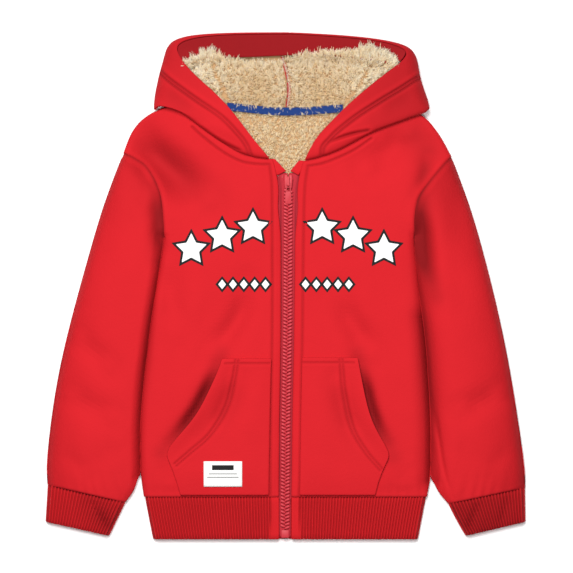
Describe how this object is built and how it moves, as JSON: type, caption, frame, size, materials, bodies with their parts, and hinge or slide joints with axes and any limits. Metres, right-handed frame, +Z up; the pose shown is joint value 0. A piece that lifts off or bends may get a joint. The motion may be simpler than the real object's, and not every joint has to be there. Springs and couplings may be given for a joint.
{
  "type": "kids zip hoodie",
  "caption": "Child's red zip-up hoodie with a cream pile lining, pouch pockets, rib hem and rib cuffs, laid flat on its back with the front up.",
  "frame": {"origin": "middle of the garment's outline, on the surface it lies on", "axes": "+X across the garment to the right as seen from above, +Y from the hem towards the hood, +Z up from the surface, out of the garment's front"},
  "size_m": [0.578, 0.609, 0.024],
  "materials": {
    "fleece": "matt brushed fleece, red",
    "rib": "matt knitted rib, red",
    "pile": "long curly pile, cream",
    "neck_tape": "woven twill tape, blue",
    "zip_tape": "woven zip tape, red",
    "zip_plastic": "moulded resin, red",
    "label": "satin patch, white"
  },
  "bodies": {
    "garment": {"front_left": "fleece", "front_right": "fleece", "back_panel": "fleece", "sleeve_left": "fleece", "sleeve_right": "fleece", "pocket_left": "fleece", "pocket_right": "fleece", "hood_left": "fleece", "hood_right": "fleece", "hood_facing": "fleece", "tape_end_left": "fleece", "tape_end_right": "fleece", "cuff_left": "rib", "cuff_right": "rib", "hem_rib": "rib", "back_lining": "pile", "hood_lining_left": "pile", "hood_lining_right": "pile", "zip_chain": "zip_plastic", "zip_slider": "zip_plastic", "zip_bridge": "zip_plastic", "zip_box": "zip_plastic", "zip_tape_left": "zip_tape", "zip_tape_right": "zip_tape", "neck_tape": "neck_tape", "label_patch": "label"},
    "pull_tab": {"zip_pull": "zip_plastic"}
  },
  "joints": [
    {"name": "pull_swing", "type": "hinge", "parent": "garment", "child": "pull_tab", "pos_m": [0.0033, 0.1225, 0.015], "axis": [-1, 0, 0], "range_deg": [0, 150]}
  ]
}
